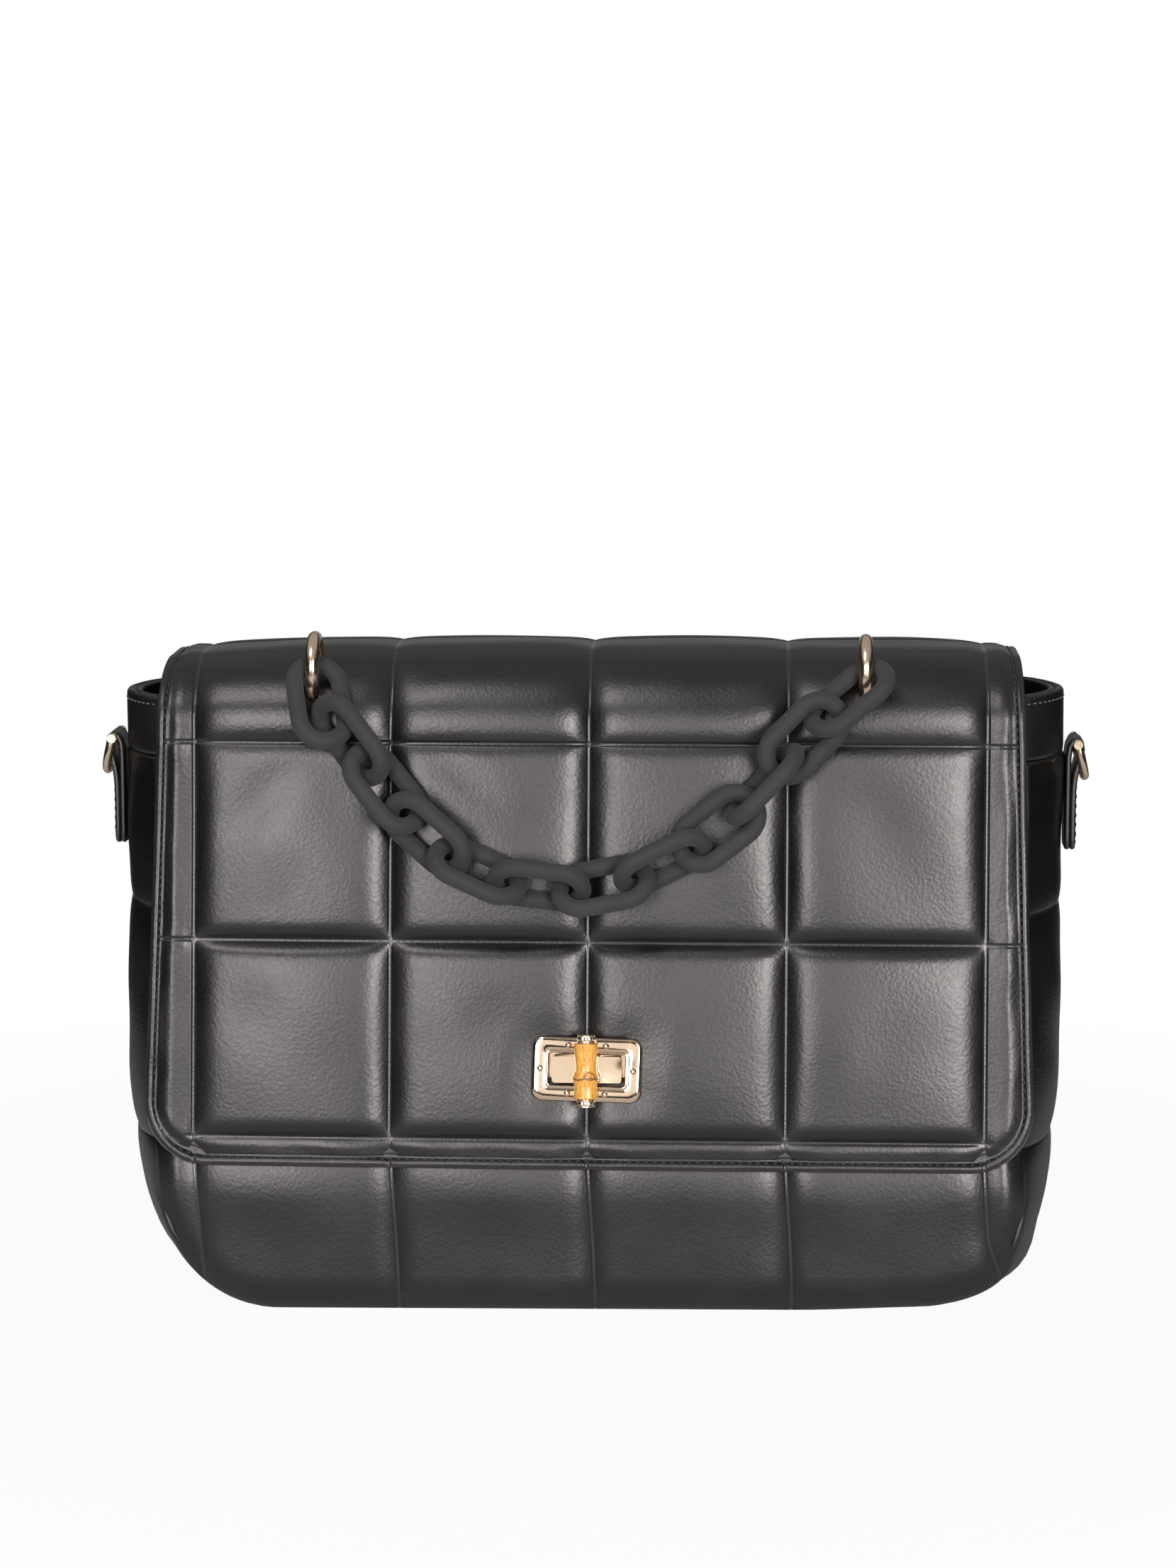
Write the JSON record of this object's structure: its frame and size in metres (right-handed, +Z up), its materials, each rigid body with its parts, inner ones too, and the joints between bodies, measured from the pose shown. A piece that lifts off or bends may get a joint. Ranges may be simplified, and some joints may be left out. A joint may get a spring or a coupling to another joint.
{
  "type": "chain shoulder bag",
  "caption": "Quilted flap shoulder bag in black leather with a heavy link chain handle, a gold turn lock with a bamboo bar, and strap rings at the sides.",
  "frame": {"origin": "centre of the flat base, on the floor", "axes": "+X to the wearer's right as the front is seen, +Y to the back, +Z up"},
  "size_m": [0.3312, 0.1147, 0.2254],
  "materials": {
    "quilted_leather": "black smooth leather over foam, satin, quilted in squares",
    "plain_leather": "black smooth leather, satin, topstitched",
    "lining_cloth": "dark woven lining",
    "board": "stiffening board, hidden",
    "gold_metal": "polished pale gold",
    "inner_metal": "plain plated steel, hidden",
    "bamboo": "glossy amber bamboo look",
    "coated_chain": "matt charcoal coating"
  },
  "bodies": {
    "bag": {"front_panel": "quilted_leather", "back_panel": "quilted_leather", "gusset_left": "quilted_leather", "gusset_right": "quilted_leather", "base_panel": "quilted_leather", "mouth_band": "plain_leather", "mouth_facing": "plain_leather", "lining": "lining_cloth", "base_board": "board", "flap_root": "plain_leather", "side_tab_left": "plain_leather", "side_tab_right": "plain_leather", "lock_base": "gold_metal", "lock_washer": "inner_metal"},
    "flap_body": {"flap": "quilted_leather", "flap_lining": "plain_leather", "lock_frame": "gold_metal", "lock_back_plate": "inner_metal", "lock_rivets": "gold_metal"},
    "left_ring": {"ring_left": "gold_metal"},
    "right_ring": {"ring_right": "gold_metal"},
    "chain": {"chain_link_01": "coated_chain", "chain_link_02": "coated_chain", "chain_link_03": "coated_chain", "chain_link_04": "coated_chain", "chain_link_05": "coated_chain", "chain_link_06": "coated_chain", "chain_link_07": "coated_chain", "chain_link_08": "coated_chain", "chain_link_09": "coated_chain", "chain_link_10": "coated_chain", "chain_link_11": "coated_chain", "chain_link_12": "coated_chain"},
    "turn_lock": {"turn_bar": "bamboo", "bar_cap_top": "gold_metal", "bar_cap_bottom": "gold_metal", "lock_spindle": "gold_metal"},
    "left_strap_ring": {"strap_ring_left": "gold_metal"},
    "right_strap_ring": {"strap_ring_right": "gold_metal"}
  },
  "joints": [
    {"name": "flap_open", "type": "hinge", "parent": "bag", "child": "flap_body", "pos_m": [0, 0.03389, 0.186], "axis": [-1, 0, 0], "range_deg": [0, 150]},
    {"name": "chain_swing", "type": "hinge", "parent": "flap_body", "child": "chain", "pos_m": [0, -0.03448, 0.21485], "axis": [-1, 0, 0], "range_deg": [0, 150]},
    {"name": "ring_left_spin", "type": "hinge", "parent": "flap_body", "child": "left_ring", "pos_m": [-0.09, -0.03166, 0.21382], "axis": [1, 0, 0], "continuous": true},
    {"name": "ring_right_spin", "type": "hinge", "parent": "flap_body", "child": "right_ring", "pos_m": [0.09, -0.03166, 0.21382], "axis": [1, 0, 0], "continuous": true},
    {"name": "bar_turn", "type": "hinge", "parent": "bag", "child": "turn_lock", "pos_m": [0, -0.04378, 0.083], "axis": [0, -0.991, 0.134], "range_deg": [0, 90]},
    {"name": "strap_ring_left_swing", "type": "hinge", "parent": "bag", "child": "left_strap_ring", "pos_m": [-0.1612, 0, 0.1863], "axis": [0, 1, 0], "range_deg": [0, 165]},
    {"name": "strap_ring_right_swing", "type": "hinge", "parent": "bag", "child": "right_strap_ring", "pos_m": [0.1612, 0, 0.1863], "axis": [0, -1, 0], "range_deg": [0, 165]}
  ]
}
